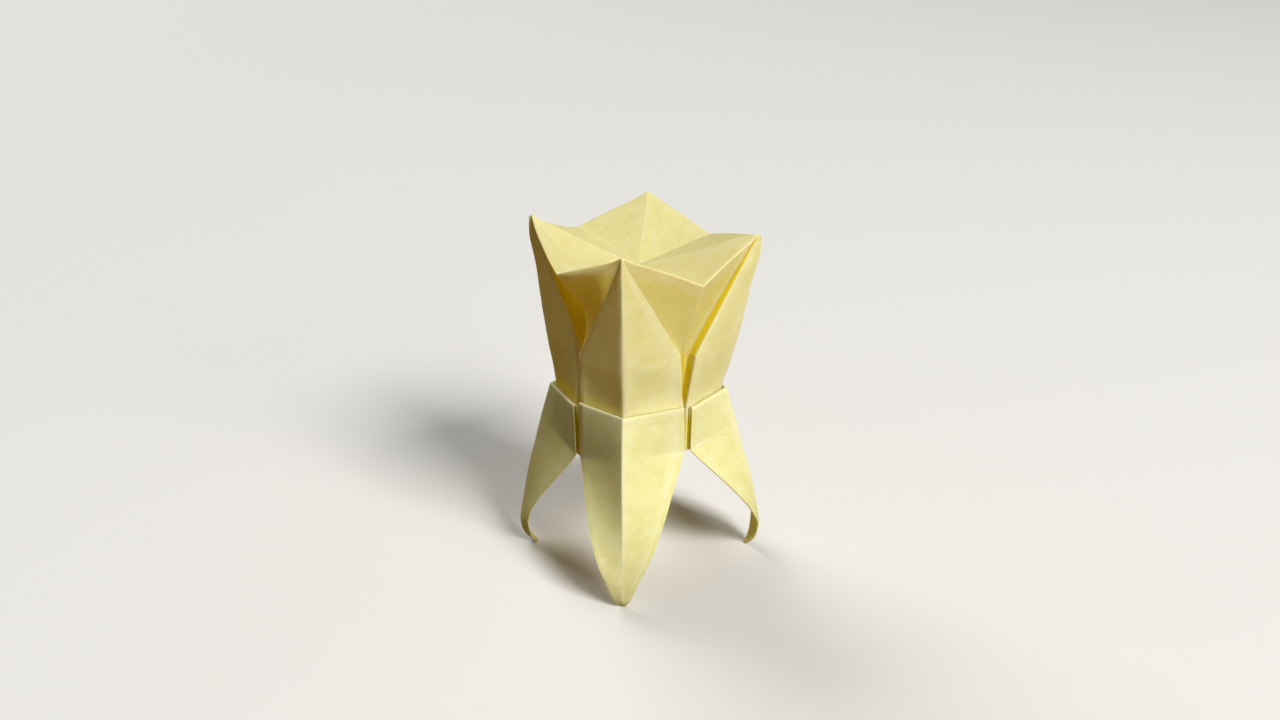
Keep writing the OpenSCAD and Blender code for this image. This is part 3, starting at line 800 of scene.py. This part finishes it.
def free_edges(faces, count):
    """The sheet's free edges, each in the direction in which its face runs."""
    edges = np.array([(a, b) for f in faces for a, b in zip(f, f[1:] + f[:1])])
    forward, back = edges[:, 0] * count + edges[:, 1], edges[:, 1] * count + edges[:, 0]
    return edges[~np.isin(forward, back)]


def handled(grid, sizes):
    """The sheet's points as handling leaves them, and the wear of the folds at each."""
    wear = grid.rounded(grid.bends()[:, None], *WEAR_ROUND)[:, 0]
    points = grid.rounded(grid.points, *FOLD_ROUND)
    # The cusps and the petals' ridges are blunter, and the cusps still reach as far as they should
    tips, near = grid.from_cusps(grid.points)
    rounds, give = BLUNT_ROUND
    points = grid.rounded(points, rounds, give * np.maximum(near, grid.from_ridges()))
    points = points + (grid.points - points)[tips][grid.petal] * near[:, None]
    points = points + (np.array(sizes.hook)[grid.petal] * near)[:, None] * UP
    # The flat facets are a little uneven
    high, finer = FINER
    wave = np.array([noise.noise(Vector(q / sizes.wave))
                     + high * noise.noise(Vector(q / sizes.wave * finer)) for q in points])
    return points + normals(points, grid.faces) * (sizes.waviness * wave)[:, None], wear


def flat_layout(grid, rim):
    """Where each corner of the mesh lies on the flat square: those of the front skin, the same ones
    behind it, and the cut edge's."""
    at = [[grid.flat[i, c // PETAL, c % PETAL + right] for i, c, right in corner]
          for corner in grid.corners]
    of_point = np.zeros((len(grid.points), 2))
    for face, corner in zip(grid.faces, at):
        of_point[face] = corner
    flat = [q for corner in at for q in corner] + [q for corner in at for q in reversed(corner)]
    flat += [of_point[v % len(of_point)] for f in rim for v in f]
    return np.array(flat, np.float32)


def fold_sheet(settings):
    """The mesh of the folded paper: two skins with the cut edge between them, the flat layout, and
    what the material needs at each point."""
    sizes = millimetres(settings.crown, settings.waist, settings.roots, settings.paper,
                        settings.hand)
    grid = Grid(Sheet(sizes))
    points, wear = handled(grid, sizes)
    half = normals(points, grid.faces) * sizes.paper / 2
    count = len(points)
    skins = (np.concatenate([points + half, points - half]) + sizes.stand) * MM
    back = [[v + count for v in reversed(f)] for f in grid.faces]
    rim = [[b, a, a + count, b + count] for a, b in free_edges(grid.faces, count).tolist()]
    mesh = bpy.data.meshes.new("FoldedSheet")
    mesh.from_pydata(skins.tolist(), [], grid.faces + back + rim)
    mesh.uv_layers.new(name="FlatSheet").data.foreach_set("uv", flat_layout(grid, rim).ravel())
    # The inner face lets more through, as pulp scatters light on to the far side
    glow = mix(settings.look.glow_folded, settings.look.glow, grid.single())
    glow = np.append(glow, np.minimum(INNER_GLOW * glow, MOST_GLOW))
    # painted_glow carries the painted yellow that stands in for light bounced about deep in the
    # folds
    of_points = {"fold": np.tile(wear, 2), "glow": glow, "painted_glow": np.tile(grid.painted_glow(sizes), 2)}
    for name, values in of_points.items():
        attribute = mesh.attributes.new(name, "FLOAT", "POINT")
        attribute.data.foreach_set("value", values.astype(np.float32))
    mesh.polygons.foreach_set("use_smooth", [True] * len(mesh.polygons))
    mesh.update()
    # The paper's cut edge is crisp
    crisp = {tuple(sorted(edge)) for f in rim for edge in (f[:2], f[2:])}
    sharp = mesh.attributes.new("sharp_edge", "BOOLEAN", "EDGE")
    sharp.data.foreach_set("value", [tuple(sorted(edge)) in crisp for edge in mesh.edge_keys])
    return mesh


# ---- Materials

def linear(sheet_hex):
    """An sRGB hex colour as Blender's linear colour."""
    channels = [int(sheet_hex[i:i + 2], 16) / 255 for i in (1, 3, 5)]
    return [c / 12.92 if c <= 0.04045 else ((c + 0.055) / 1.055) ** 2.4 for c in channels] + [1.0]


def add(tree, kind, inputs=None, **settings):
    """Adds a node with its settings, and sets or links its sockets."""
    node = tree.nodes.new(kind)
    for name, value in settings.items():
        setattr(node, name, value)
    for name, value in (inputs or {}).items():
        if isinstance(value, bpy.types.NodeSocket):
            tree.links.new(value, node.inputs[name])
        else:
            node.inputs[name].default_value = value
    return node


def new_nodes(kind, name):
    """A new material or world with its empty node tree."""
    holder = kind.new(name)
    holder.use_nodes = True
    holder.node_tree.nodes.clear()
    return holder, holder.node_tree


def mixed(tree, factor, first, second):
    """The colour that lies between two, which are colours or sockets."""
    node = add(tree, "ShaderNodeMix", {"Factor": factor}, data_type="RGBA")
    for socket, value in zip([s for s in node.inputs if s.type == "RGBA"], (first, second)):
        if isinstance(value, bpy.types.NodeSocket):
            tree.links.new(value, socket)
        else:
            socket.default_value = value
    return next(s for s in node.outputs if s.type == "RGBA")


def speckle(tree, vector, scale, detail, roughness):
    """A value that varies over the flat sheet like pulp."""
    return add(tree, "ShaderNodeTexNoise", {"Vector": vector, "Scale": scale, "Detail": detail,
                                            "Roughness": roughness},
               noise_dimensions="2D").outputs["Fac"]


def ramp(tree, value, low, high, most):
    """A value that goes from 0 to most while another goes from low to high."""
    return add(tree, "ShaderNodeMapRange", {"Value": value, "From Min": low, "From Max": high,
                                            "To Max": most}).outputs["Result"]


def dyed_paper(settings):
    """Copy paper dyed in the pulp and folded by hand: matt, a little cloudy, with fibres that lie
    mostly one way, so light catches them in fine streaks, rubbed pale along the folds, and with a
    painted glow, a deeper yellow that stands in for light bounced about deep in the folds."""
    look, side = settings.look, settings.paper.sheet_side
    material, tree = new_nodes(bpy.data.materials, "DyedPaper")
    flat = add(tree, "ShaderNodeUVMap", uv_map="FlatSheet").outputs["UV"]
    in_fibres = [side / look.fibre_length, side / look.fibre_width, 1]
    along = add(tree, "ShaderNodeMapping", {"Vector": flat, "Scale": in_fibres}).outputs["Vector"]
    fibres = speckle(tree, along, 1, 3, 0.6)
    clouds = speckle(tree, flat, side / look.cloud_size, 4, 0.65)
    grain = speckle(tree, flat, side / look.grain, 2, 0.5)
    fold, painted_glow, glow = (add(tree, "ShaderNodeAttribute", attribute_name=name).outputs["Fac"]
                        for name in ("fold", "painted_glow", "glow"))
    colour = mixed(tree, ramp(tree, clouds, 0.35, 0.7, 1), linear(look.pulp), linear(look.cloud))
    colour = mixed(tree, ramp(tree, fibres, 0.48, 0.68, 0.4), colour, linear(look.fibre))
    # Painted glow: a saturated yellow in the folds that stands in for light bounced about and
    # passed through the paper there
    colour = mixed(tree, painted_glow, colour, linear(look.painted_glow))
    colour = mixed(tree, ramp(tree, fold, 0.15, 0.7, 0.75), colour, linear(look.worn))
    height = add(tree, "ShaderNodeMath", {0: fibres, 1: grain}, operation="ADD").outputs["Value"]
    bump = add(tree, "ShaderNodeBump", {"Height": height, "Strength": 0.6,
                                        "Distance": look.relief}).outputs["Normal"]
    front = add(tree, "ShaderNodeBsdfPrincipled", {
        "Base Color": colour, "Roughness": 0.88, "IOR": 1.5, "Specular IOR Level": 0.25,
        "Normal": bump})
    # Light that gets through has passed a lot of dyed pulp, so it comes out a deeper yellow
    through = add(tree, "ShaderNodeBsdfTranslucent", {"Color": linear(look.deep), "Normal": bump})
    both = add(tree, "ShaderNodeMixShader", {"Fac": glow, 1: front.outputs["BSDF"],
                                             2: through.outputs["BSDF"]})
    add(tree, "ShaderNodeOutputMaterial", {"Surface": both.outputs["Shader"]})
    return material


def background_paper(settings):
    """Matt background paper from a roll: pale and even, with a faint tooth that hides shine."""
    material, tree = new_nodes(bpy.data.materials, "BackgroundPaper")
    ground = add(tree, "ShaderNodeTexCoord").outputs["Object"]
    tooth = add(tree, "ShaderNodeTexNoise", {"Vector": ground, "Scale": 1 / MM, "Detail": 3.0})
    bump = add(tree, "ShaderNodeBump", {"Height": tooth.outputs["Fac"], "Strength": 0.2,
                                        "Distance": 0.05 * MM})
    # Seen straight on and in reflections it is pale, and it throws little light back at the tooth
    path = add(tree, "ShaderNodeLightPath").outputs
    seen = path["Is Camera Ray"]
    for ray in ("Is Glossy Ray", "Is Transmission Ray"):
        seen = add(tree, "ShaderNodeMath", {0: seen, 1: path[ray]},
                   operation="MAXIMUM").outputs["Value"]
    pale = mixed(tree, seen, linear(settings.stage.floor_bounce), linear(settings.stage.floor))
    shader = add(tree, "ShaderNodeBsdfPrincipled", {
        "Base Color": pale, "Roughness": 0.95, "IOR": 1.5,
        "Specular IOR Level": 0.2, "Normal": bump.outputs["Normal"]})
    add(tree, "ShaderNodeOutputMaterial", {"Surface": shader.outputs["BSDF"]})
    return material


# ---- Operators

def put(context, name, data):
    """A new object in the scene."""
    item = bpy.data.objects.new(name, data)
    context.scene.collection.objects.link(item)
    return item


class TOOTH_OT_sheet(bpy.types.Operator):
    """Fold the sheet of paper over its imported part"""
    bl_idname = "tooth.sheet"
    bl_label = "Fold the sheet"

    def execute(self, context):
        settings = context.scene.tooth
        piece = put(context, "FoldedSheet", fold_sheet(settings))
        piece.data.materials.append(dyed_paper(settings))
        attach(piece, BODY)
        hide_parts(NODE)
        return {"FINISHED"}


class TOOTH_OT_stage(bpy.types.Operator):
    """Set the floor, the light and the camera"""
    bl_idname = "tooth.stage"
    bl_label = "Set the stage"

    def execute(self, context):
        settings = context.scene.tooth
        self.set_floor(context, settings)
        self.set_light(context, settings.stage)
        self.set_camera(context, settings.stage)
        return {"FINISHED"}

    def set_floor(self, context, settings):
        shape = bmesh.new()
        bmesh.ops.create_circle(shape, cap_ends=True, segments=96,
                                radius=settings.stage.floor_radius)
        mesh = bpy.data.meshes.new("Floor")
        shape.to_mesh(mesh)
        shape.free()
        mesh.materials.append(background_paper(settings))
        put(context, "Floor", mesh)

    def set_light(self, context, stage):
        lists = (stage.light_turn, stage.light_height, stage.light_power, stage.light_size)
        for name, *values in zip(("key_light", "low_light", "back_light"), *lists):
            self.add_soft_box(context, stage.light_distance, name, *values)
        world, tree = new_nodes(bpy.data.worlds, "PlainRoom")
        seen = add(tree, "ShaderNodeLightPath").outputs["Is Camera Ray"]
        fill = add(tree, "ShaderNodeBackground", {"Strength": stage.sky})
        pale = add(tree, "ShaderNodeBackground", {"Color": linear(stage.floor)})
        both = add(tree, "ShaderNodeMixShader", {"Fac": seen, 1: fill.outputs["Background"],
                                                 2: pale.outputs["Background"]})
        add(tree, "ShaderNodeOutputWorld", {"Surface": both.outputs["Shader"]})
        context.scene.world = world

    def add_soft_box(self, context, distance, name, turn, height, power, size):
        low, high = CAD_BOX
        flat = math.cos(height)
        towards = Vector((flat * math.sin(turn), -flat * math.cos(turn), math.sin(height)))
        lamp = bpy.data.lights.new(name, "AREA")
        lamp.shape = "SQUARE"
        lamp.size = size
        lamp.energy = power
        put(context, name, lamp).matrix_world = (
            Matrix.Translation((low + high) / 2 + towards * distance)
            @ towards.to_track_quat("Z", "Y").to_matrix().to_4x4())

    def set_camera(self, context, stage):
        lens = bpy.data.cameras.new("PhotoView")
        lens.sensor_width = 36
        lens.lens = stage.lens
        lens.clip_start = 0.01
        camera = put(context, "PhotoView", lens)
        camera.location = stage.camera_place
        camera.rotation_euler = stage.camera_turn
        context.scene.camera = camera
        context.scene.view_settings.view_transform = "Standard"


class TOOTH_PT_panel(bpy.types.Panel):
    """The tooth's pieces and sizes"""
    bl_idname = "TOOTH_PT_panel"
    bl_label = "Origami Tooth"
    bl_space_type = "VIEW_3D"
    bl_region_type = "UI"
    bl_category = "Tooth"

    def draw(self, context):
        settings = context.scene.tooth
        for name in type(settings).__annotations__:
            group = getattr(settings, name)
            box = self.layout.box()
            box.label(text=type(settings).bl_rna.properties[name].name)
            for size in type(group).__annotations__:
                box.prop(group, size)
        self.layout.operator("tooth.sheet")
        self.layout.operator("tooth.stage")


CLASSES = (CrownSizes, WaistSizes, RootSizes, PaperSizes, HandFolds, PaperLook, StageLook,
           ToothSettings, TOOTH_OT_sheet, TOOTH_OT_stage, TOOTH_PT_panel)


def register():
    for cls in CLASSES:
        bpy.utils.register_class(cls)
    bpy.types.Scene.tooth = subgroup(ToothSettings, "Tooth", "The origami tooth and its stage")


def unregister():
    del bpy.types.Scene.tooth
    for cls in reversed(CLASSES):
        bpy.utils.unregister_class(cls)


def main():
    register()
    bpy.ops.tooth.sheet()
    bpy.ops.tooth.stage()


if __name__ == "__main__":
    main()
